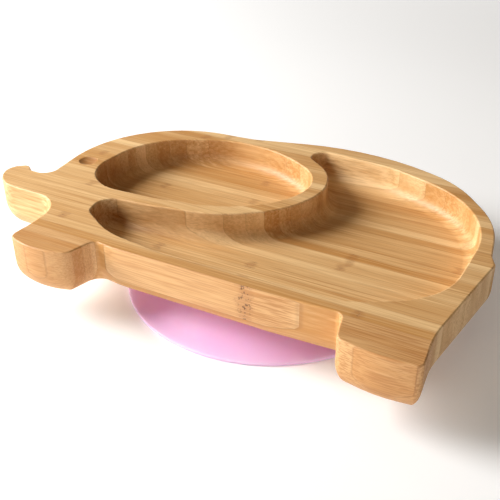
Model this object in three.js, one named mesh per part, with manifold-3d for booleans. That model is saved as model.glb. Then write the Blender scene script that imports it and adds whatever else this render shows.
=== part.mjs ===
// A toddler's suction plate: an elephant-shaped board milled from glued bamboo strips, on a removable
// silicone suction ring. Millimetres, +Z up. The board faces -X (trunk) and its feet point to -Y.
// The origin is on the table, under the centre of the board's outline.
import * as THREE from "three";
import { mergeVertices } from "three/addons/utils/BufferGeometryUtils.js";
import Module from "manifold-3d";

const wasm = await Module();
wasm.setup();

// ---- driving dimensions ----
const TABLE = 0;
const BOARD_TOP = 40; // top face above the table
const BOARD_THICK = 25;
const EDGE_ROUND = { inward: 8.2, upward: 12 }; // the big round under the board's edge
const POCKET_DEPTH = 15;
const POCKET_ROUND = 6.5; // ball-nose radius where a pocket's wall meets its floor
const EAR_RIM = 8; // wood left standing between the two pockets
const STRIP = 5.625; // thickness of one bamboo strip, along Y
const FIRST_GLUE_LINE = -76.625;
const STRIPS = 30;
const EYE = { x: -96.7, y: 4, radius: 5.6, depth: 1.4 };

const RING_CENTRE = new THREE.Vector2(18, 0);
const LIP_RADIUS = 72.8; // the suction ring's edge on the table
const GROOVE = { inner: 34, outer: 41, depth: 5 }; // in the board's underside, holds the ring's bead
const GAP = 0.3; // between pieces that touch
const RING_SIDES = 60;
const TAB = { width: 16, reach: 9.4, thick: 2, lift: 0.4, corner: 5 };

const ARC_STEP = 15; // degrees, at most, between points of an arc
const ARC_SAG = 0.08; // and how far a chord may leave its arc
const EDGE_STEP = 11; // longest straight stretch of an outline
const ROUND_STEPS = 5; // slices across a quarter round

const BOARD_BOTTOM = BOARD_TOP - BOARD_THICK;
const POCKET_FLOOR = BOARD_TOP - POCKET_DEPTH;

// ---- outlines: corners [x, y, radius], counter-clockwise ----
const ELEPHANT = [
  [-80.2, -79.1, 5], // front foot
  [-62, -84.8, 40],
  [-45.7, -79.2, 6],
  [-41.4, -64.5, 3.5], // belly
  [-30, -66.15, 60],
  [48, -66.15, 90],
  [83.3, -64.5, 4],
  [87, -80.8, 4.5], // hind foot
  [105.3, -84.1, 60],
  [123, -82.1, 3],
  [121, -61.3, 60],
  [130.1, 0, 2.5], // tail
  [127.1, 6.3, 3],
  [122.1, 36.9, 60], // rump
  [94.3, 69.1, 57],
  [40.3, 89, 125], // back
  [-28.2, 71.1, 60], // neck
  [-110.4, 67, 63], // head
  [-104.9, -20, 7], // forehead
  [-117.1, -19.8, 2.5], // trunk, curled up
  [-122.3, -15.3, 3],
  [-132, -21.6, 8.7],
  [-124, -39.1, 18],
  [-80.5, -40.3, 16.5], // mouth
  [-78.3, -61.7, 60],
];
const EAR = [
  [-91.4, -18.6, 24],
  [-37.9, -16, 60],
  [-4.1, -9.4, 55],
  [18.4, 7.5, 40],
  [31.6, 39.1, 25.5],
  [-5.3, 63.4, 70],
  [-39.7, 63.5, 50],
  [-82.4, 43.8, 45.5],
];
// The body pocket wraps round the ear: its inner edge is the ear's own outline, one rim further out.
const BODY = [
  [-63.6, -26.6, 8.5],
  [-61.5, -41.9, 6.6],
  [-40.9, -54.8, 41],
  [-6.7, -59, 60],
  [81.1, -57, 40],
  [117.7, -35.4, 37.4],
  [120.4, 49.3, 57.8],
  [57.6, 71.4, 60],
  [12.9, 74.4, 7.4],
  [11.8, 63.8, 5.5],
  ...pushedOut(EAR, EAR_RIM).slice(1, 5).reverse(),
];

// Corners moved out by a distance, each edge staying parallel to itself; every corner is convex.
function pushedOut(corners, distance) {
  const outward = (from, to) =>
    new THREE.Vector2(to[1] - from[1], from[0] - to[0]).normalize();
  return corners.map(([x, y, radius], i) => {
    const before = outward(corners.at(i - 1), corners[i]);
    const after = outward(corners[i], corners[(i + 1) % corners.length]);
    const mitre = before.clone().add(after);
    mitre.multiplyScalar(distance / (1 + before.dot(after)));
    return [x + mitre.x, y + mitre.y, radius + distance];
  });
}

// An outline's points, each with its inward normal: an arc at every corner, and steps along the straights.
function outline(corners) {
  const points = [];
  const add = (position, tangent) =>
    points.push({ position, tangent, inward: new THREE.Vector2(-tangent.y, tangent.x) });
  const arcs = corners.map(([x, y, radius], i) => {
    const corner = new THREE.Vector2(x, y);
    const [px, py] = corners.at(i - 1);
    const [nx, ny] = corners[(i + 1) % corners.length];
    const into = corner.clone().sub(new THREE.Vector2(px, py)).normalize();
    const out = new THREE.Vector2(nx, ny).sub(corner).normalize();
    const turn = Math.atan2(into.cross(out), into.dot(out));
    const reach = radius * Math.tan(Math.abs(turn) / 2);
    return { corner, into, turn, radius, start: corner.clone().addScaledVector(into, -reach) };
  });
  arcs.forEach(({ into, turn, radius, start }, i) => {
    const side = Math.sign(turn);
    const centre = start.clone().addScaledVector(new THREE.Vector2(-into.y, into.x), side * radius);
    const sagStep = 2 * Math.acos(1 - ARC_SAG / radius);
    const steps = Math.ceil(
      Math.abs(turn) / Math.min(sagStep, THREE.MathUtils.degToRad(ARC_STEP)),
    );
    for (let k = 0; k <= steps; k++) {
      const angle = (turn * k) / steps;
      const position = start.clone().rotateAround(centre, angle);
      add(position, into.clone().rotateAround(new THREE.Vector2(), angle));
    }
    const end = points.at(-1);
    const next = arcs[(i + 1) % arcs.length].start;
    const cuts = Math.ceil(end.position.distanceTo(next) / EDGE_STEP);
    for (let k = 1; k < cuts; k++)
      add(end.position.clone().lerp(next, k / cuts), end.tangent);
  });
  return points;
}

// How far each point can move inward before another part of the outline is nearer.
function room(points) {
  return points.map(({ position, inward }, i) => {
    let most = Infinity;
    points.forEach((other, j) => {
      if (i === j) return;
      const across = other.position.clone().sub(position);
      const depth = across.dot(inward);
      if (depth > 1e-6) most = Math.min(most, across.lengthSq() / (2 * depth));
    });
    return most;
  });
}

// The outline moved inward. Points that run out of room gather at the mitre between their neighbours.
function inset(points, rooms, distance) {
  const count = points.length;
  const fits = (i) => rooms[(i + count) % count] >= distance * 1.05;
  const moved = (i) => {
    const p = points[(i + count) % count];
    return p.position.clone().addScaledVector(p.inward, distance);
  };
  return points.map((_, i) => {
    if (fits(i)) return moved(i);
    let before = i;
    let after = i;
    while (!fits(before)) before--;
    while (!fits(after)) after++;
    const a = moved(before);
    const b = moved(after);
    const ta = points[(before + count) % count].tangent;
    const tb = points[after % count].tangent;
    const slant = ta.cross(tb);
    const mean = a.clone().lerp(b, 0.5);
    if (Math.abs(slant) < 0.05) return mean;
    const mitre = a.clone().addScaledVector(ta, b.clone().sub(a).cross(tb) / slant);
    return mitre.distanceTo(mean) < a.distanceTo(b) ? mitre : mean;
  });
}

// ---- solids ----
// A closed mesh from loops of equal length, lowest first: { z, loop }.
function loft(levels) {
  const count = levels[0].loop.length;
  const positions = levels.flatMap(({ z, loop }) => loop.flatMap((p) => [p.x, p.y, z]));
  const index = [];
  for (let level = 0; level + 1 < levels.length; level++)
    for (let i = 0; i < count; i++) {
      const a = level * count + i;
      const b = level * count + ((i + 1) % count);
      index.push(a, b, b + count, a, b + count, a + count);
    }
  const cap = (level, flip) => {
    const loop = levels[level].loop;
    const used = loop
      .map((_, i) => i)
      .filter((i) => loop[i].distanceTo(loop[(i + 1) % count]) > 1e-3);
    THREE.ShapeUtils.triangulateShape(used.map((i) => loop[i]), []).forEach((face) => {
      const corners = face.map((k) => level * count + used[k]);
      index.push(...(flip ? corners.reverse() : corners));
    });
  };
  cap(0, true);
  cap(levels.length - 1, false);
  const geometry = new THREE.BufferGeometry();
  geometry.setAttribute("position", new THREE.Float32BufferAttribute(positions, 3));
  geometry.setIndex(index);
  return geometry;
}

function toSolid(geometry) {
  const bare = geometry.clone();
  for (const name of ["normal", "uv"]) bare.deleteAttribute(name);
  const merged = mergeVertices(bare, 1e-3);
  const triangles = [];
  const corner = merged.index.array;
  for (let i = 0; i < corner.length; i += 3) {
    const [a, b, c] = corner.slice(i, i + 3);
    if (a !== b && b !== c && c !== a) triangles.push(a, b, c);
  }
  return new wasm.Manifold(
    new wasm.Mesh({
      numProp: 3,
      vertProperties: merged.attributes.position.array,
      triVerts: new Uint32Array(triangles),
    }),
  );
}

function toGeometry(solid) {
  const mesh = solid.getMesh();
  const geometry = new THREE.BufferGeometry();
  geometry.setAttribute("position", new THREE.BufferAttribute(mesh.vertProperties, 3));
  geometry.setIndex(new THREE.BufferAttribute(mesh.triVerts, 1));
  geometry.computeVertexNormals();
  return geometry;
}

const quarter = Array.from({ length: ROUND_STEPS + 1 }, (_, k) => (Math.PI / 2) * (k / ROUND_STEPS));

// The outline's prism with a big round under its edge.
function boardBlank() {
  const points = outline(ELEPHANT);
  const rooms = room(points);
  const levels = quarter.map((angle) => ({
    z: BOARD_BOTTOM + EDGE_ROUND.upward * (1 - Math.cos(angle)),
    loop: inset(points, rooms, EDGE_ROUND.inward * (1 - Math.sin(angle))),
  }));
  levels.push({ z: BOARD_TOP, loop: inset(points, rooms, 0) });
  return toSolid(loft(levels));
}

// What the ball-nose cutter removes for one pocket.
function pocketCut(corners) {
  const points = outline(corners);
  const rooms = room(points);
  const levels = quarter.map((angle) => ({
    z: POCKET_FLOOR + POCKET_ROUND * (1 - Math.cos(angle)),
    loop: inset(points, rooms, POCKET_ROUND * (1 - Math.sin(angle))),
  }));
  levels.push({ z: BOARD_TOP + 5, loop: inset(points, rooms, 0) });
  return toSolid(loft(levels));
}

// A ring about the suction ring's axis, from its section's corners [radius, z], counter-clockwise.
function ringGeometry(section) {
  const closed = [...section, section[0]].map(([r, z]) => new THREE.Vector2(r, z));
  return new THREE.LatheGeometry(closed, RING_SIDES)
    .rotateX(Math.PI / 2)
    .translate(RING_CENTRE.x, RING_CENTRE.y, 0);
}

function eyeCut() {
  const ball = (EYE.radius ** 2 + EYE.depth ** 2) / (2 * EYE.depth);
  return toSolid(
    new THREE.SphereGeometry(ball, 24, 32)
      .rotateX(Math.PI / 2)
      .translate(EYE.x, EYE.y, BOARD_TOP + ball - EYE.depth),
  );
}

function grooveCut() {
  const roof = BOARD_BOTTOM + GROOVE.depth;
  return toSolid(
    ringGeometry([
      [GROOVE.inner, BOARD_BOTTOM - 1],
      [GROOVE.outer, BOARD_BOTTOM - 1],
      [GROOVE.outer, roof],
      [GROOVE.inner, roof],
    ]),
  );
}

// ---- materials ----
const bamboo = (shade) =>
  new THREE.MeshStandardMaterial({
    color: new THREE.Color(0xd2a15c).offsetHSL(0, 0, shade),
    roughness: 0.5,
    metalness: 0,
  });
const silicone = new THREE.MeshStandardMaterial({ color: 0xf7a3cf, roughness: 0.45, metalness: 0 });

const plate = new THREE.Group();
function addPiece(name, geometry, material) {
  const mesh = new THREE.Mesh(geometry, material);
  mesh.name = name;
  plate.add(mesh);
}

// ---- the board, as the strips that it is glued up from ----
// The outline cuts some strips into several bodies. From trunk to tail, these are their places, for a strip
// left in one body, two or three. The belly bulges past a glue line, so a thin face of strip 3 is left on it.
const PLACES = {
  1: [""],
  2: ["_front_leg", "_hind_leg"],
  3: ["_front_leg", "_belly", "_hind_leg"],
};

function addStrips() {
  const board = boardBlank()
    .subtract(pocketCut(EAR))
    .subtract(pocketCut(BODY))
    .subtract(eyeCut())
    .subtract(grooveCut());
  const wide = 400;
  for (let k = 0; k < STRIPS; k++) {
    const low = k === 0 ? -wide / 2 : FIRST_GLUE_LINE + STRIP * (k - 1);
    const high = k === STRIPS - 1 ? wide / 2 : FIRST_GLUE_LINE + STRIP * k;
    const slab = new THREE.BoxGeometry(wide, high - low, wide).translate(0, (low + high) / 2, 0);
    const bodies = board.intersect(toSolid(slab)).decompose();
    bodies.sort((a, b) => a.boundingBox().min[0] - b.boundingBox().min[0]);
    const number = String(k + 1).padStart(2, "0");
    bodies.forEach((body, i) => {
      addPiece(
        `bamboo_strip_${number}${PLACES[bodies.length][i]}`,
        toGeometry(body),
        bamboo(0.02 * Math.sin(2.4 * k)),
      );
    });
  }
}

// ---- the silicone ring: a bead and collar in the board, a skirt, and the lip that seals on the table ----
function addRing() {
  const under = BOARD_BOTTOM - GAP;
  const bead = { inner: GROOVE.inner + GAP, outer: GROOVE.outer - GAP };
  const beadTop = BOARD_BOTTOM + GROOVE.depth - GAP;
  const lipEnd = 60; // radius where the lip becomes the skirt
  const skirtEnd = 46; // and the skirt becomes the collar
  const sections = {
    suction_lip: [
      [66, TABLE],
      [LIP_RADIUS, TABLE],
      [LIP_RADIUS, 1.2],
      [LIP_RADIUS - 0.8, 1.8],
      [66, 3.7],
      [lipEnd + GAP / 2, 5.8],
      [lipEnd + GAP / 2, 2.6],
    ],
    suction_skirt: [
      [lipEnd - GAP / 2, 2.7],
      [lipEnd - GAP / 2, 5.9],
      [54, 8.3],
      [skirtEnd + GAP / 2, 12],
      [skirtEnd + GAP / 2, 8],
      [54, 4.9],
    ],
    suction_collar: [
      [skirtEnd - GAP / 2, 8.1],
      [skirtEnd - GAP / 2, 12.1],
      [43.8, under],
      [bead.outer, under],
      [bead.outer, beadTop],
      [bead.inner, beadTop],
      [bead.inner, 12],
      [39.5, 10],
    ],
  };
  for (const [name, section] of Object.entries(sections))
    addPiece(name, ringGeometry(section), silicone);
}

// The tongue at the back of the lip that a finger lifts to break the seal.
function addTab() {
  const { width, reach, thick, lift, corner } = TAB;
  const near = LIP_RADIUS + GAP;
  const far = near + reach;
  const shape = new THREE.Shape();
  shape.moveTo(-width / 2, near);
  shape.lineTo(width / 2, near);
  shape.lineTo(width / 2, far - corner);
  shape.absarc(width / 2 - corner, far - corner, corner, 0, Math.PI / 2);
  shape.absarc(corner - width / 2, far - corner, corner, Math.PI / 2, Math.PI);
  const tongue = new THREE.ExtrudeGeometry(shape, {
    depth: thick,
    bevelEnabled: false,
    curveSegments: 8,
  });
  addPiece("pull_tab", tongue.translate(RING_CENTRE.x, RING_CENTRE.y, TABLE + lift), silicone);
}

addStrips();
addRing();
addTab();

export default plate;
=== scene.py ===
"""An elephant-shaped bamboo plate on a pink silicone suction ring: the looks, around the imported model.

The board's outlines, round and pockets repeat those of the model, in metres, with a finer step and
with the small broken edges that the model leaves out. The board is cut into its bamboo strips again.
"""
import math

import bmesh
import bpy
import numpy as np
from mathutils import Matrix, Vector


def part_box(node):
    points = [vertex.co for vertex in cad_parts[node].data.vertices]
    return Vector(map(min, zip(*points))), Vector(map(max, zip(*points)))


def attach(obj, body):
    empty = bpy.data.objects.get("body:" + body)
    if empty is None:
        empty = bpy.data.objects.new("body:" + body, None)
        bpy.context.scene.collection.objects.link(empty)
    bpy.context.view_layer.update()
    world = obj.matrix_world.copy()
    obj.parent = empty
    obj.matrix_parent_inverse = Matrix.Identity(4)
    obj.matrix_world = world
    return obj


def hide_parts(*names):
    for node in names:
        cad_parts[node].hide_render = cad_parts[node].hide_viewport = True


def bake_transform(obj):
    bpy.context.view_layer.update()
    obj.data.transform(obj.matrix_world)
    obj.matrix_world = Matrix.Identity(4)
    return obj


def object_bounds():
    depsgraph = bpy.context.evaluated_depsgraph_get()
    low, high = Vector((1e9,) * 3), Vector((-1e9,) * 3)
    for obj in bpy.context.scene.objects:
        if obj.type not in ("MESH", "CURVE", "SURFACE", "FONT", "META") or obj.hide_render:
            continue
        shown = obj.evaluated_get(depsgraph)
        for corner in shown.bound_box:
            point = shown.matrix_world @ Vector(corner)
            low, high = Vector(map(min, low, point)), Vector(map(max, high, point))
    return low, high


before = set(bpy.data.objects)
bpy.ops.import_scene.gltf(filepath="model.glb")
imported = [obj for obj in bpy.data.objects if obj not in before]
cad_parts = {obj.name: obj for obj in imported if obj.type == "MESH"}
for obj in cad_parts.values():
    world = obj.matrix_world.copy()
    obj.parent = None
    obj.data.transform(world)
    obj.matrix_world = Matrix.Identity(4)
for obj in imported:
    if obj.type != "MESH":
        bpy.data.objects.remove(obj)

cad_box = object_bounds()
MM = 0.001

# ---- driving dimensions, in metres; heights and the strips' faces come from the frame ----
BOARD_TOP = cad_box[1].z
BOARD_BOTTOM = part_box("bamboo_strip_04")[0].z
POCKET_DEPTH = 15 * MM
POCKET_ROUND = 6.5 * MM
UNDER_ROUND = (8.2 * MM, 12 * MM)  # inward and upward
EAR_RIM = 8 * MM
EDGE_BREAK = 0.9 * MM  # the sanded round on the top edges
EYE = {"x": -96.7 * MM, "y": 4 * MM, "radius": 5.6 * MM, "depth": 1.4 * MM}
GROOVE = (34 * MM, 41 * MM, 5 * MM)  # inner and outer radius, and depth
RING_X = sum(c.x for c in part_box("suction_lip")) / 2
RING_Y = sum(c.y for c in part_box("suction_lip")) / 2
STRIP_NODES = [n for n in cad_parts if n.startswith("bamboo_strip")]
STRIP = 5.625 * MM
STRIPS = 30
FIRST_GLUE_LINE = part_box("bamboo_strip_04")[0].y - 2 * STRIP
BELLY_GLUE_LINE = FIRST_GLUE_LINE + 2 * STRIP  # the belly's wall is cut almost along this one
BELLY_JOINT = 39 * MM  # x of the culm's joint that crosses the belly
POCKET_FLOOR = BOARD_TOP - POCKET_DEPTH

# ---- how finely the shapes are cut, and how close counts as touching ----
ARC_STEP = math.radians(5)
EDGE_STEP = 5 * MM
UNDER_ROUND_STEPS = 10
POCKET_ROUND_STEPS = 9
BROKEN_EDGE_STEPS = 4
EYE_SIDES, EYE_STEPS = 40, 7
GROOVE_SIDES = 96
RING_SIDES = 160
TAB_ROUND_STEPS = 8
SAME_POINT = 0.001 * MM
ON_GLUE_PLANE = 0.01 * MM
CUT_TOLERANCE = 1e-7
NO_DEPTH = 1e-9
ROOM_MARGIN = 1.05  # a point moves inward where the outline has this much more room than it needs
NEARLY_PARALLEL = 0.05  # sine of the angle under which two edges have no useful mitre
BOARD_CREASE = math.radians(38)  # edges sharper than this are shaded as edges
RUBBER_CREASE = math.radians(50)
UPRIGHT_WITHIN = math.radians(15)  # normals this close to upright or level become so
LEVEL_WITHIN = math.radians(30)


# ---- outlines: corners (x, y, radius) in millimetres, counter-clockwise ----
ELEPHANT = [
    (-80.2, -79.1, 5),  # front foot
    (-62, -84.8, 40),
    (-45.7, -79.2, 6),
    (-41.4, -64.5, 3.5),  # belly
    (-30, -66.15, 60),
    (48, -66.15, 90),
    (83.3, -64.5, 4),
    (87, -80.8, 4.5),  # hind foot
    (105.3, -84.1, 60),
    (123, -82.1, 3),
    (121, -61.3, 60),
    (130.1, 0, 2.5),  # tail
    (127.1, 6.3, 3),
    (122.1, 36.9, 60),  # rump
    (94.3, 69.1, 57),
    (40.3, 89, 125),  # back
    (-28.2, 71.1, 60),  # neck
    (-110.4, 67, 63),  # head
    (-104.9, -20, 7),  # forehead
    (-117.1, -19.8, 2.5),  # trunk, curled up
    (-122.3, -15.3, 3),
    (-132, -21.6, 8.7),
    (-124, -39.1, 18),
    (-80.5, -40.3, 16.5),  # mouth
    (-78.3, -61.7, 60),
]
EAR = [
    (-91.4, -18.6, 24),
    (-37.9, -16, 60),
    (-4.1, -9.4, 55),
    (18.4, 7.5, 40),
    (31.6, 39.1, 25.5),
    (-5.3, 63.4, 70),
    (-39.7, 63.5, 50),
    (-82.4, 43.8, 45.5),
]


def pushed_out(corners, distance):
    """Convex corners moved out by a distance in millimetres, each edge parallel to itself."""
    moved = []
    for i, (x, y, radius) in enumerate(corners):
        here = Vector((x, y))
        before = (here - Vector(corners[i - 1][:2])).normalized()
        after = (Vector(corners[(i + 1) % len(corners)][:2]) - here).normalized()
        out_before, out_after = Vector((before.y, -before.x)), Vector((after.y, -after.x))
        mitre = (out_before + out_after) * (distance / (1 + out_before.dot(out_after)))
        moved.append((x + mitre.x, y + mitre.y, radius + distance))
    return moved


BODY = [
    (-63.6, -26.6, 8.5),
    (-61.5, -41.9, 6.6),
    (-40.9, -54.8, 41),
    (-6.7, -59, 60),
    (81.1, -57, 40),
    (117.7, -35.4, 37.4),
    (120.4, 49.3, 57.8),
    (57.6, 71.4, 60),
    (12.9, 74.4, 7.4),
    (11.8, 63.8, 5.5),
    *pushed_out(EAR, EAR_RIM / MM)[1:5][::-1],
]


class Outline:
    """Points round an outline, in metres, with tangents, that can be moved inward."""

    def __init__(self, corners):
        points, tangents = [], []
        arcs = []
        for i, (x, y, radius) in enumerate(corners):
            corner, radius = Vector((x, y)) * MM, radius * MM
            into = (corner - Vector(corners[i - 1][:2]) * MM).normalized()
            out = (Vector(corners[(i + 1) % len(corners)][:2]) * MM - corner).normalized()
            turn = math.atan2(into.cross(out), into.dot(out))
            reach = radius * math.tan(abs(turn) / 2)
            arcs.append((corner - into * reach, into, turn, radius))
        for i, (start, into, turn, radius) in enumerate(arcs):
            centre = start + Vector((-into.y, into.x)) * math.copysign(radius, turn)
            steps = max(2, math.ceil(abs(turn) / ARC_STEP))
            for k in range(steps + 1):
                turned = np.array(rotation(turn * k / steps))
                points.append(np.array(centre) + turned @ np.array(start - centre))
                tangents.append(turned @ np.array(into))
            ahead = np.array(arcs[(i + 1) % len(arcs)][0])
            end, tangent = points[-1], tangents[-1]
            cuts = math.ceil(np.linalg.norm(ahead - end) / EDGE_STEP)
            for k in range(1, cuts):
                points.append(end + (ahead - end) * k / cuts)
                tangents.append(tangent)
        self.points, self.tangents = np.array(points), np.array(tangents)
        self.inward = np.stack([-self.tangents[:, 1], self.tangents[:, 0]], 1)
        # a point's room is the radius of the largest circle that touches it from inside
        across = self.points[None] - self.points[:, None]
        depth = (across * self.inward[:, None]).sum(2)
        with np.errstate(divide="ignore", invalid="ignore"):
            room = np.where(depth > NO_DEPTH, (across**2).sum(2) / (2 * depth), np.inf)
        self.room = room.min(1)

    def inset(self, distance):
        """The outline moved inward. Points with no room gather at the mitre between their neighbours."""
        count = len(self.points)
        moved = self.points + self.inward * distance
        fits = self.room >= distance * ROOM_MARGIN
        if distance <= 0 or fits.all():
            return moved
        result = moved.copy()
        for i in np.flatnonzero(~fits):
            before, after = i, i
            while not fits[before % count]:
                before -= 1
            while not fits[after % count]:
                after += 1
            a, b = moved[before % count], moved[after % count]
            ta, tb = self.tangents[before % count], self.tangents[after % count]
            slant = ta[0] * tb[1] - ta[1] * tb[0]
            result[i] = (a + b) / 2
            if abs(slant) >= NEARLY_PARALLEL:
                mitre = a + ta * (((b - a)[0] * tb[1] - (b - a)[1] * tb[0]) / slant)
                if np.linalg.norm(mitre - result[i]) < np.linalg.norm(b - a):
                    result[i] = mitre
        return result


def rotation(angle):
    return [(math.cos(angle), -math.sin(angle)), (math.sin(angle), math.cos(angle))]


def quarter(steps):
    return [math.pi / 2 * k / steps for k in range(steps + 1)]


# ---- the board's surface: flat faces filled between loops, walls lofted from loop to loop ----
class Surface:
    def __init__(self):
        self.bm = bmesh.new()

    def loop(self, points, z):
        """A closed ring of vertices. Points that coincide share one."""
        verts = []
        for p in points:
            if verts and np.linalg.norm(np.array(verts[-1].co[:2]) - p) < SAME_POINT:
                verts.append(verts[-1])
            else:
                verts.append(self.bm.verts.new((p[0], p[1], z)))
        if np.linalg.norm(np.array(verts[-1].co[:2]) - points[0]) < SAME_POINT:
            last = verts[-1]
            verts = [verts[0] if v is last else v for v in verts]
            self.bm.verts.remove(last)
        return verts

    def wall(self, low, high):
        """Faces between two rings of equal length, facing right of the rings' direction."""
        for i in range(len(low)):
            j = (i + 1) % len(low)
            corners = []
            for v in (low[i], low[j], high[j], high[i]):
                if v not in corners:
                    corners.append(v)
            if len(corners) > 2 and not self.bm.faces.get(corners):
                self.bm.faces.new(corners)

    def loft(self, rings):
        for low, high in zip(rings, rings[1:]):
            self.wall(low, high)

    def fill(self, rings, up):
        """A flat face between an outer ring and any holes."""
        edges = set()
        for ring in rings:
            for i, v in enumerate(ring):
                w = ring[(i + 1) % len(ring)]
                if v is not w:
                    edges.add(self.bm.edges.get((v, w)) or self.bm.edges.new((v, w)))
        normal = Vector((0, 0, 1 if up else -1))
        made = bmesh.ops.triangle_fill(self.bm, edges=list(edges), use_beauty=True, normal=normal)
        for face in [g for g in made["geom"] if isinstance(g, bmesh.types.BMFace)]:
            face.normal_update()
            if face.normal.dot(normal) < 0:
                face.normal_flip()


def circle(x, y, radius, steps):
    turns = np.arange(steps) * 2 * np.pi / steps
    return np.stack([x + radius * np.cos(turns), y + radius * np.sin(turns)], 1)


def board_surface():
    s = Surface()
    outer, ear, body = Outline(ELEPHANT), Outline(EAR), Outline(BODY)
    inward, upward = UNDER_ROUND
    rings = [
        s.loop(outer.inset(inward * (1 - math.sin(a))), BOARD_BOTTOM + upward * (1 - math.cos(a)))
        for a in quarter(UNDER_ROUND_STEPS)
    ]
    wall_top = BOARD_TOP - EDGE_BREAK
    for share in (0.5, 1.0):
        z = BOARD_BOTTOM + upward + (wall_top - BOARD_BOTTOM - upward) * share
        rings.append(s.loop(outer.inset(0), z))
    for a in quarter(BROKEN_EDGE_STEPS)[1:]:
        rings.append(
            s.loop(outer.inset(EDGE_BREAK * (1 - math.cos(a))), wall_top + EDGE_BREAK * math.sin(a))
        )
    s.loft(rings)
    holes = [pocket(s, ear), pocket(s, body), eye(s)]
    s.fill([rings[-1], *holes], up=True)
    underside(s, rings[0])
    return s.bm


def pocket(s, outline):
    """A pocket's wall and floor. Returns its mouth."""
    wall_top, wall_bottom = BOARD_TOP - EDGE_BREAK, POCKET_FLOOR + POCKET_ROUND
    rings = [
        s.loop(outline.inset(-EDGE_BREAK * (1 - math.cos(a))), wall_top + EDGE_BREAK * math.sin(a))
        for a in quarter(BROKEN_EDGE_STEPS)[::-1]
    ]
    rings.append(s.loop(outline.inset(0), (wall_top + wall_bottom) / 2))
    for a in quarter(POCKET_ROUND_STEPS):
        moved_in = outline.inset(POCKET_ROUND * (1 - math.cos(a)))
        rings.append(s.loop(moved_in, wall_bottom - POCKET_ROUND * math.sin(a)))
    s.loft(rings)
    s.fill([rings[-1]], up=True)
    return rings[0]


def eye(s):
    """A shallow round dimple, part of a ball. Returns its mouth."""
    ball = (EYE["radius"] ** 2 + EYE["depth"] ** 2) / (2 * EYE["depth"])
    rings = []
    for k in range(EYE_STEPS):
        radius = EYE["radius"] * (1 - k / EYE_STEPS)
        sink = EYE["depth"] - (ball - math.sqrt(ball**2 - radius**2))
        rings.append(s.loop(circle(EYE["x"], EYE["y"], radius, EYE_SIDES), BOARD_TOP - sink))
    s.loft(rings)
    s.fill([rings[-1]], up=True)
    return rings[0]


def underside(s, edge):
    inner, outer, depth = GROOVE
    roof = BOARD_BOTTOM + depth
    mouth = [s.loop(circle(RING_X, RING_Y, r, GROOVE_SIDES), BOARD_BOTTOM) for r in (inner, outer)]
    top = [s.loop(circle(RING_X, RING_Y, r, GROOVE_SIDES), roof) for r in (inner, outer)]
    s.wall(mouth[0], top[0])
    s.wall(top[1], mouth[1])
    s.fill([edge, mouth[1]], up=False)
    s.fill([top[1], top[0]], up=False)
    s.fill([mouth[0]], up=False)


# ---- the strips: the surface cut at the glue lines, with its smooth shading kept ----
def cut_into_strips(bm):
    lines = [FIRST_GLUE_LINE + STRIP * k for k in range(STRIPS - 1)]
    for y in lines:
        geometry = [*bm.verts, *bm.edges, *bm.faces]
        bmesh.ops.bisect_plane(bm, geom=geometry, dist=CUT_TOLERANCE, plane_co=(0, y, 0), plane_no=(0, 1, 0))
    bmesh.ops.recalc_face_normals(bm, faces=list(bm.faces))
    whole = bpy.data.meshes.new("board_surface")
    bm.to_mesh(whole)
    bm.free()
    whole.polygons.foreach_set("use_smooth", [True] * len(whole.polygons))
    whole.set_sharp_from_angle(angle=BOARD_CREASE)
    normals = np.zeros(len(whole.loops) * 3, np.float32)
    whole.corner_normals.foreach_get("vector", normals)
    normals = flat_and_upright(whole, normals.reshape(-1, 3))
    co = np.zeros(len(whole.vertices) * 3, np.float32)
    whole.vertices.foreach_get("co", co)
    co = co.reshape(-1, 3)
    band = {}
    for face in whole.polygons:
        y = sum(co[v][1] for v in face.vertices) / len(face.vertices)
        band.setdefault(int(np.searchsorted(lines, y)), []).append(face)
    pieces = []
    for k, faces in sorted(band.items()):
        planes = ([lines[k - 1]] if k else []) + ([lines[k]] if k < len(lines) else [])
        pieces += strip_pieces(k, faces, co, normals, planes)
    bpy.data.meshes.remove(whole)
    return pieces


def flat_and_upright(mesh, normals):
    """Corner normals with those next to a level face level, and those next to an upright wall upright."""
    face_z = np.zeros(len(mesh.polygons) * 3, np.float32)
    mesh.polygon_normals.foreach_get("vector", face_z)
    face_z = face_z.reshape(-1, 3)[:, 2]
    corner_vert = np.zeros(len(mesh.loops), np.int32)
    mesh.loops.foreach_get("vertex_index", corner_vert)
    totals = np.zeros(len(mesh.polygons), np.int32)
    mesh.polygons.foreach_get("loop_total", totals)
    corner_z = np.repeat(face_z, totals)
    upright = np.zeros(len(mesh.vertices), bool)
    on_wall = np.abs(corner_z) < 0.001
    upright[corner_vert[on_wall]] = True
    near = upright[corner_vert] & (np.abs(normals[:, 2]) < math.sin(UPRIGHT_WITHIN))
    normals[near, 2] = 0
    for sign in (1, -1):
        level = np.zeros(len(mesh.vertices), bool)
        on_flat = corner_z * sign > 0.9999
        level[corner_vert[on_flat]] = True
        near = level[corner_vert] & (normals[:, 2] * sign > math.cos(LEVEL_WITHIN))
        normals[near] = (0, 0, sign)
    return normals / np.linalg.norm(normals, axis=1)[:, None]


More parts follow.
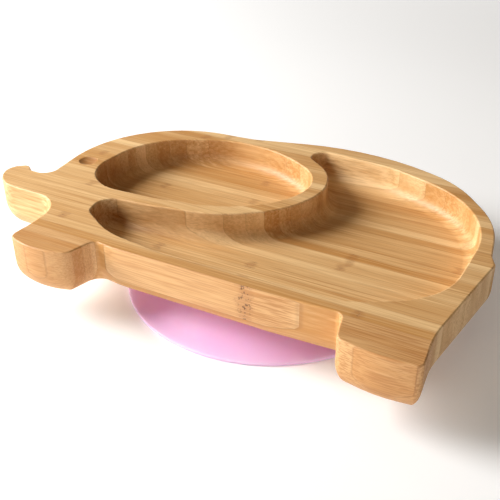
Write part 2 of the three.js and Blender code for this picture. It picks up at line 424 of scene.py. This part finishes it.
def strip_pieces(k, faces, co, normals, planes):
    """One strip's closed bodies: its share of the surface, and a flat face on each glue plane."""
    bm = bmesh.new()
    layer = bm.loops.layers.float_vector.new("shading")
    verts = {}
    for face in faces:
        corners = []
        for v in face.vertices:
            if v not in verts:
                verts[v] = bm.verts.new(co[v])
            corners.append(verts[v])
        made = bm.faces.new(corners)
        for corner, index in zip(made.loops, face.loop_indices):
            corner[layer] = Vector(normals[index])
    middle = sum(planes) / len(planes)
    for y in planes:
        open_edges = [
            e for e in bm.edges
            if e.is_boundary and all(abs(v.co.y - y) < ON_GLUE_PLANE for v in e.verts)
        ]
        facing = Vector((0, 1 if y > middle or (len(planes) == 1 and k == 0) else -1, 0))
        made = bmesh.ops.triangle_fill(bm, edges=open_edges, use_beauty=True, normal=facing)
        for face in [g for g in made["geom"] if isinstance(g, bmesh.types.BMFace)]:
            face.normal_update()
            if face.normal.dot(facing) < 0:
                face.normal_flip()
            for corner in face.loops:
                corner[layer] = facing
    pieces = [island_object(island, layer) for island in islands(bm)]
    bm.free()
    return pieces


def islands(bm):
    """The faces, grouped into bodies that share no edge."""
    seen, found = set(), []
    for start in bm.faces:
        if start in seen:
            continue
        stack, island = [start], []
        seen.add(start)
        while stack:
            face = stack.pop()
            island.append(face)
            for edge in face.edges:
                for other in edge.link_faces:
                    if other not in seen:
                        seen.add(other)
                        stack.append(other)
        found.append(island)
    return found


def island_object(island, layer):
    """One body as an object, in place of the model's node whose box is nearest to its own."""
    verts = list({v: None for face in island for v in face.verts})
    index = {v: i for i, v in enumerate(verts)}
    mesh = bpy.data.meshes.new("strip")
    mesh.from_pydata([v.co for v in verts], [], [[index[v] for v in f.verts] for f in island])
    mesh.polygons.foreach_set("use_smooth", [True] * len(mesh.polygons))
    mesh.normals_split_custom_set([tuple(c[layer]) for f in island for c in f.loops])
    mesh.update()
    low = np.min([v.co for v in verts], axis=0)
    high = np.max([v.co for v in verts], axis=0)

    def mismatch(node):
        node_low, node_high = (np.array(corner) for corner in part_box(node))
        return np.abs(node_low - low).sum() + np.abs(node_high - high).sum()

    node = min(STRIP_NODES, key=mismatch)
    name = node.replace("bamboo_strip", "strip")
    mesh.name = name
    obj = bpy.data.objects.new(name, mesh)
    bpy.context.scene.collection.objects.link(obj)
    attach(obj, "board")
    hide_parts(node)
    return obj


# ---- the silicone ring: one moulding, from the bead in the board's groove to the lip on the table ----
def ring():
    """Turned from its section: corners (distance from the axis, height, radius), in millimetres."""
    inner, outer, depth = (v / MM for v in GROOVE)
    gap = 0.3  # to the board
    under, bead_top = BOARD_BOTTOM / MM - gap, BOARD_BOTTOM / MM + depth - gap
    section = [
        (66, 0, 6),  # the lip, flat on the table
        (72.8, 0, 0.5),
        (72.8, 1.5, 0.7),
        (66, 3.7, 30),
        (54, 8.3, 40),  # the skirt's outside
        (46, 12.1, 8),
        (43.8, under, 1.2),  # the collar, under the board
        (outer - gap, under, 0.4),
        (outer - gap, bead_top, 1.2),  # the bead, in the board's groove
        (inner + gap, bead_top, 1.2),
        (inner + gap, 12, 3),
        (39.5, 10, 8),  # the inside, down to the lip again
        (45.85, 8.1, 12),
        (54, 4.9, 20),
    ]
    profile = Outline(section).points
    turns = np.arange(RING_SIDES) * 2 * math.pi / RING_SIDES
    verts = [
        (RING_X + r * math.cos(t), RING_Y + r * math.sin(t), z) for t in turns for r, z in profile
    ]
    count = len(profile)
    faces = [
        (
            a * count + i,
            ((a + 1) % RING_SIDES) * count + i,
            ((a + 1) % RING_SIDES) * count + (i + 1) % count,
            a * count + (i + 1) % count,
        )
        for a in range(RING_SIDES)
        for i in range(count)
    ]
    obj = new_piece("suction_ring", verts, faces)
    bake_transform(obj)
    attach(obj, "lip")
    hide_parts("suction_lip", "suction_skirt", "suction_collar")
    return obj


def tab():
    """The tongue at the back of the lip. It is wider at its root, which lies inside the lip."""
    low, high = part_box("pull_tab")
    half, far = (high.x - low.x) / 2, high.y
    root = RING_Y + 70.5 * MM
    flare = 1.5  # millimetres that the root is wider on each side
    middle_z, thick = (low.z + high.z) / 2, (high.z - low.z) / 2
    plan = Outline(
        [
            (-half / MM - flare, root / MM, 1),
            (half / MM + flare, root / MM, 1),
            (half / MM, low.y / MM + flare, 3),
            (half / MM, far / MM, 5),
            (-half / MM, far / MM, 5),
            (-half / MM, low.y / MM + flare, 3),
        ]
    )
    bm = bmesh.new()
    rings = []
    for a in np.linspace(-math.pi / 2, math.pi / 2, TAB_ROUND_STEPS + 1):
        points = plan.inset(0.9 * thick * (1 - math.cos(a)))
        rings.append([bm.verts.new((RING_X + p[0], p[1], middle_z + thick * math.sin(a))) for p in points])
    for lower, upper in zip(rings, rings[1:]):
        for i in range(len(lower)):
            j = (i + 1) % len(lower)
            bm.faces.new((lower[i], lower[j], upper[j], upper[i]))
    bm.faces.new(rings[0][::-1])
    bm.faces.new(rings[-1])
    bmesh.ops.remove_doubles(bm, verts=bm.verts, dist=SAME_POINT)
    mesh = bpy.data.meshes.new("release_tab")
    bm.to_mesh(mesh)
    bm.free()
    obj = finish_piece("release_tab", mesh)
    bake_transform(obj)
    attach(obj, "lip")
    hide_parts("pull_tab")
    return obj


def new_piece(name, verts, faces):
    mesh = bpy.data.meshes.new(name)
    mesh.from_pydata(verts, [], faces)
    bm = bmesh.new()
    bm.from_mesh(mesh)
    bmesh.ops.recalc_face_normals(bm, faces=list(bm.faces))
    bm.to_mesh(mesh)
    bm.free()
    return finish_piece(name, mesh)


def finish_piece(name, mesh):
    mesh.polygons.foreach_set("use_smooth", [True] * len(mesh.polygons))
    mesh.set_sharp_from_angle(angle=RUBBER_CREASE)
    obj = bpy.data.objects.new(name, mesh)
    bpy.context.scene.collection.objects.link(obj)
    return obj


# ---- materials ----
class Nodes:
    """A material's node tree, with a short call for each kind of node."""

    def __init__(self, name):
        self.material = bpy.data.materials.new(name)
        self.material.use_nodes = True
        self.tree = self.material.node_tree
        self.shader = self.tree.nodes["Principled BSDF"]

    def node(self, kind, inputs, **settings):
        made = self.tree.nodes.new("ShaderNode" + kind)
        for key, value in settings.items():
            setattr(made, key, value)
        for key, value in inputs.items():
            self.set(made.inputs[key], value)
        return made

    def set(self, socket, value):
        if isinstance(value, bpy.types.NodeSocket):
            self.tree.links.new(value, socket)
        else:
            socket.default_value = value

    def math(self, operation, *values):
        inputs = dict(enumerate(values))
        return self.node("Math", inputs, operation=operation).outputs[0]

    def plus(self, a, b):
        return self.math("ADD", a, b)

    def minus(self, a, b):
        return self.math("SUBTRACT", a, b)

    def times(self, a, b):
        return self.math("MULTIPLY", a, b)

    def place(self, x, y, z):
        return self.node("CombineXYZ", {0: x, 1: y, 2: z}).outputs[0]

    def noise(self, vector, detail=2.0, roughness=0.5):
        inputs = {"Vector": vector, "Scale": 1.0, "Detail": detail, "Roughness": roughness}
        return self.node("TexNoise", inputs).outputs[0]

    def smooth(self, value, low, high, to_low=0.0, to_high=1.0):
        inputs = {0: value, 1: low, 2: high, 3: to_low, 4: to_high}
        return self.node("MapRange", inputs, interpolation_type="SMOOTHSTEP").outputs[0]

    def mix(self, share, a, b):
        inputs = {0: share, 6: a, 7: b}
        return self.node("Mix", inputs, data_type="RGBA").outputs[2]


def srgb(red, green, blue):
    """A colour given as 0 to 255, as the shader's linear colour."""
    def linear(v):
        v /= 255
        return v / 12.92 if v <= 0.04045 else ((v + 0.055) / 1.055) ** 2.4
    return (linear(red), linear(green), linear(blue), 1)


BAMBOO_DARK, BAMBOO_PALE = srgb(196, 140, 76), srgb(244, 206, 150)
FIBRE_BROWN = srgb(160, 103, 50)
# painted shade for the faces in front of the belly's glue line
FRONT_PAINTED_SHADE = srgb(196, 136, 78)
JOINT_BROWN, PIT_BROWN = srgb(158, 98, 50), srgb(84, 46, 20)
GLUE_BROWN = srgb(140, 90, 46)
EYE_DIMPLE_BROWN = srgb(140, 84, 44)
PINK, PALE_PINK = srgb(254, 190, 236), srgb(255, 197, 240)

GLUE_LINE = (0.03 * MM, 0.12 * MM)  # dark this far from the joint's middle, and faded out here
JOINT_SPREAD = 120 * MM  # the strips' culm joints lie this far either side of the middle
JOINT_BAND = (0.8 * MM, 3.5 * MM)  # dark this far from a culm joint, and faded out here
BELLY_BAND_EXTRA = 2 * MM
JOINT_WOBBLE = 6 * MM


def bamboo_material():
    n = Nodes("bamboo")
    coords = n.node("TexCoord", {}).outputs["Object"]
    split = n.node("SeparateXYZ", {0: coords})
    x, y, z = split.outputs
    along = n.math("DIVIDE", n.minus(y, FIRST_GLUE_LINE), STRIP)
    strip = n.math("FLOOR", along)
    across = n.math("FRACT", along)
    chance = n.node("TexWhiteNoise", {"W": n.plus(strip, 17.3)}, noise_dimensions="1D")
    shade = chance.outputs["Value"]
    random = n.node("SeparateColor", {0: chance.outputs["Color"]})
    shift = n.times(random.outputs[0], 3.0)
    moved = n.plus(x, shift)

    def grain(per_x, per_y, per_z, detail=2.0, roughness=0.5):
        """Noise that changes so many times in a metre, along, across and up."""
        scaled = [n.times(v, k) for v, k in ((moved, per_x), (y, per_y), (z, per_z))]
        return n.noise(n.place(*scaled), detail, roughness)

    broad = grain(7, 130, 50, 2.0, 0.5)
    streak = grain(14, 1000, 600, 3.0, 0.6)
    fibre = grain(45, 1600, 1600, 2.0, 0.6)

    # bundles of fibres: dark threads along the strip and dots across its end, thickest at one face of
    # each strip, and in front of the belly's glue line
    side = n.math("ABSOLUTE", n.minus(across, n.math("ROUND", random.outputs[1])))
    # the faces in front of the belly's glue line, the feet and the belly's front: thicker fibre dashes
    # there, and the painted shade below
    front_dashes_and_shade = n.smooth(y, BELLY_GLUE_LINE + 0.2 * MM, BELLY_GLUE_LINE - 0.3 * MM)
    past_joint = n.smooth(x, BELLY_JOINT - 2 * MM, BELLY_JOINT + 3 * MM, 1.1, 1.9)
    dense = n.math("MAXIMUM", n.smooth(side, 1.0, 0.0, 0.3, 0.8), n.times(front_dashes_and_shade, past_joint))
    bundles = n.times(n.smooth(fibre, 0.40, 0.66), dense)

    # each strip has its own shade and its own strength of streak
    lively = n.smooth(random.outputs[1], 0.2, 1.0, 0.6, 1.5)
    tone = n.plus(n.times(n.minus(broad, 0.5), 0.8), 0.5)
    tone = n.plus(tone, n.times(n.minus(streak, 0.5), lively))
    tone = n.plus(tone, n.times(n.minus(shade, 0.5), 0.4))
    colour = n.mix(n.smooth(tone, 0.05, 0.95), BAMBOO_DARK, BAMBOO_PALE)
    colour = n.mix(n.times(bundles, 0.40), colour, FIBRE_BROWN)
    # painted shade: the faces in front of the belly's glue line are darkened halfway to a tan, so they read
    # less lit than the top
    colour = n.mix(n.times(front_dashes_and_shade, 0.5), colour, FRONT_PAINTED_SHADE)

    # a culm's joint crosses each strip somewhere: a narrow darker band with dark pits
    joint_x = n.smooth(random.outputs[2], 0.0, 1.0, -JOINT_SPREAD, JOINT_SPREAD)
    in_front = n.math("LESS_THAN", y, BELLY_GLUE_LINE)
    to_belly_joint = n.minus(BELLY_JOINT, joint_x)
    joint_x = n.plus(joint_x, n.times(in_front, to_belly_joint))
    off = n.minus(x, joint_x)
    wobble = n.times(n.minus(grain(120, 500, 240), 0.5), JOINT_WOBBLE)
    reach = n.plus(JOINT_BAND[1], n.times(in_front, BELLY_BAND_EXTRA))
    band = n.smooth(n.math("ABSOLUTE", n.plus(off, wobble)), reach, JOINT_BAND[0])
    pits = n.times(band, n.smooth(grain(700, 1100, 700, 2.0, 0.7), 0.54, 0.66))
    colour = n.mix(n.times(band, 0.3), colour, JOINT_BROWN)
    pit_depth = n.plus(0.22, n.times(in_front, 0.6))
    colour = n.mix(n.times(pits, pit_depth), colour, PIT_BROWN)

    # the glue lines, at both faces of a strip
    from_middle = n.math("ABSOLUTE", n.minus(across, 0.5))
    to_line = n.times(n.minus(0.5, from_middle), STRIP)
    line = n.smooth(to_line, GLUE_LINE[1], GLUE_LINE[0])
    colour = n.mix(n.times(line, 0.25), colour, GLUE_BROWN)

    # the eye's dimple is coloured darker brown, most within four fifths of its radius
    from_eye = n.node(
        "VectorMath", {0: coords, 1: (EYE["x"], EYE["y"], BOARD_TOP)}, operation="DISTANCE"
    ).outputs["Value"]
    eye_darkening = n.smooth(from_eye, EYE["radius"] * 1.02, EYE["radius"] * 0.8)
    colour = n.mix(n.times(eye_darkening, 0.5), colour, EYE_DIMPLE_BROWN)

    n.set(n.shader.inputs["Base Color"], colour)
    rough = n.smooth(n.plus(streak, n.times(bundles, 0.3)), 0.2, 1.0, 0.40, 0.56)
    n.set(n.shader.inputs["Roughness"], rough)
    height = n.minus(n.times(fibre, -0.4), n.times(pits, 1.2))
    height = n.minus(height, n.times(line, 0.5))
    bump = n.node("Bump", {"Height": height, "Strength": 0.5, "Distance": 0.0002})
    n.set(n.shader.inputs["Normal"], bump.outputs[0])
    n.set(n.shader.inputs["Specular IOR Level"], 0.45)
    return n.material


def silicone_material():
    n = Nodes("silicone")
    coords = n.node("TexCoord", {}).outputs["Object"]
    cloud = n.noise(n.node("VectorMath", {0: coords, 3: 30.0}, operation="SCALE").outputs[0], 2.0)
    speck = n.noise(n.node("VectorMath", {0: coords, 3: 2500.0}, operation="SCALE").outputs[0], 2.0)
    colour = n.mix(n.smooth(cloud, 0.3, 0.7), PINK, PALE_PINK)
    n.set(n.shader.inputs["Base Color"], colour)
    n.set(n.shader.inputs["Roughness"], n.smooth(speck, 0.3, 0.7, 0.42, 0.5))
    n.set(n.shader.inputs["Subsurface Weight"], 0.8)
    n.set(n.shader.inputs["Subsurface Radius"], (0.008, 0.006, 0.006))
    n.set(n.shader.inputs["Subsurface Scale"], 1.0)
    bump = n.node("Bump", {"Height": speck, "Strength": 0.06, "Distance": 0.00005})
    n.set(n.shader.inputs["Normal"], bump.outputs[0])
    return n.material


FLOOR_WHITE = 0.93
GLOW_REACH = (0.35, 1.5)  # metres from the object where the floor's glow starts and is full
GLOW_STRENGTH = (0.14, 1.0)


def floor_material():
    """White, with a glow that grows away from the object."""
    n = Nodes("floor")
    coords = n.node("TexCoord", {}).outputs["Object"]
    away = n.node("VectorMath", {0: coords}, operation="LENGTH").outputs["Value"]
    n.set(n.shader.inputs["Base Color"], (FLOOR_WHITE, FLOOR_WHITE, FLOOR_WHITE, 1))
    n.set(n.shader.inputs["Roughness"], 0.9)
    n.set(n.shader.inputs["Emission Color"], (1, 1, 1, 1))
    n.set(n.shader.inputs["Emission Strength"], n.smooth(away, *GLOW_REACH, *GLOW_STRENGTH))
    return n.material


# ---- the studio ----
CAMERA = {"azimuth": 27.86, "elevation": 31.9, "roll": -0.384, "distance": 0.37113, "lens": 58.47}
CAMERA_TARGET = Vector((0.0274, -0.0387, 0.04))
SENSOR_WIDTH = 36
FLOOR_REACH = 12
FLOOR_DROP = 0.2 * MM  # below the lip, so that the two don't flicker
PALE_BELOW, DIM_ABOVE = math.radians(4), math.radians(14)  # heights above the horizon
HORIZON_WHITE, OVERHEAD_DIM = (1, 1, 1, 1), (0.025, 0.02, 0.014, 1)
LIGHT_TARGET = Vector((0, 0, 0.02))
LIGHTS = {
    "key": {"place": (-0.97, -0.33, 0.60), "size": 0.7, "power": 26},
    "overhead": {"place": (0, 0, 1.2), "size": 1.0, "power": 1.6, "colour": (1.0, 0.8, 0.55)},
    "low_front": {"place": (0.1, -1.3, 0.2), "size": 0.8, "power": 5.5},
}


def camera():
    azimuth, elevation, roll = (math.radians(CAMERA[k]) for k in ("azimuth", "elevation", "roll"))
    forward = Vector(
        (
            -math.sin(azimuth) * math.cos(elevation),
            math.cos(azimuth) * math.cos(elevation),
            -math.sin(elevation),
        )
    )
    right = Vector((math.cos(azimuth), math.sin(azimuth), 0))
    up = right.cross(forward)
    turned_right = right * math.cos(roll) + up * math.sin(roll)
    turned_up = up * math.cos(roll) - right * math.sin(roll)
    data = bpy.data.cameras.new("camera")
    data.sensor_width = SENSOR_WIDTH
    data.lens = CAMERA["lens"]
    data.clip_start = 0.01
    obj = bpy.data.objects.new("camera", data)
    bpy.context.scene.collection.objects.link(obj)
    place = CAMERA_TARGET - forward * CAMERA["distance"]
    rows = [(turned_right[i], turned_up[i], -forward[i], place[i]) for i in range(3)]
    obj.matrix_world = Matrix([*rows, (0, 0, 0, 1)])
    bpy.context.scene.camera = obj


def area_light(name, place, size, power, colour=(1, 1, 1)):
    """A disk of light that faces the object."""
    data = bpy.data.lights.new(name, "AREA")
    data.shape = "DISK"
    data.size = size
    data.energy = power
    data.color = colour
    obj = bpy.data.objects.new(name, data)
    obj.location = place
    obj.rotation_euler = (LIGHT_TARGET - Vector(place)).to_track_quat("-Z", "Y").to_euler()
    bpy.context.scene.collection.objects.link(obj)


def horizon_glow():
    """A world that is pale along the horizon and dim and warm overhead, like a lighting tent."""
    world = bpy.data.worlds.new("world")
    world.use_nodes = True
    tree = world.node_tree
    background = tree.nodes["Background"]
    split = tree.nodes.new("ShaderNodeSeparateXYZ")
    tree.links.new(tree.nodes.new("ShaderNodeTexCoord").outputs["Generated"], split.inputs[0])
    height = tree.nodes.new("ShaderNodeMapRange")
    height.interpolation_type = "SMOOTHSTEP"
    height.inputs["From Min"].default_value = math.sin(PALE_BELOW)
    height.inputs["From Max"].default_value = math.sin(DIM_ABOVE)
    tree.links.new(split.outputs["Z"], height.inputs["Value"])
    colour = tree.nodes.new("ShaderNodeMix")
    colour.data_type = "RGBA"
    colour.inputs[6].default_value = HORIZON_WHITE
    colour.inputs[7].default_value = OVERHEAD_DIM
    tree.links.new(height.outputs["Result"], colour.inputs[0])
    tree.links.new(colour.outputs[2], background.inputs["Color"])
    return world


def studio():
    mesh = bpy.data.meshes.new("floor")
    height = cad_box[0].z - FLOOR_DROP
    signs = ((-1, -1), (1, -1), (1, 1), (-1, 1))
    mesh.from_pydata([(i * FLOOR_REACH, j * FLOOR_REACH, height) for i, j in signs], [], [(0, 1, 2, 3)])
    floor = bpy.data.objects.new("floor", mesh)
    floor.data.materials.append(floor_material())
    bpy.context.scene.collection.objects.link(floor)
    bpy.context.scene.world = horizon_glow()
    for name, light in LIGHTS.items():
        area_light(name, **light)
    bpy.context.scene.view_settings.view_transform = "Standard"


camera()
strips = cut_into_strips(board_surface())
wood = bamboo_material()
for strip in strips:
    strip.data.materials.append(wood)
rubber = silicone_material()
for piece in (ring(), tab()):
    piece.data.materials.append(rubber)
studio()
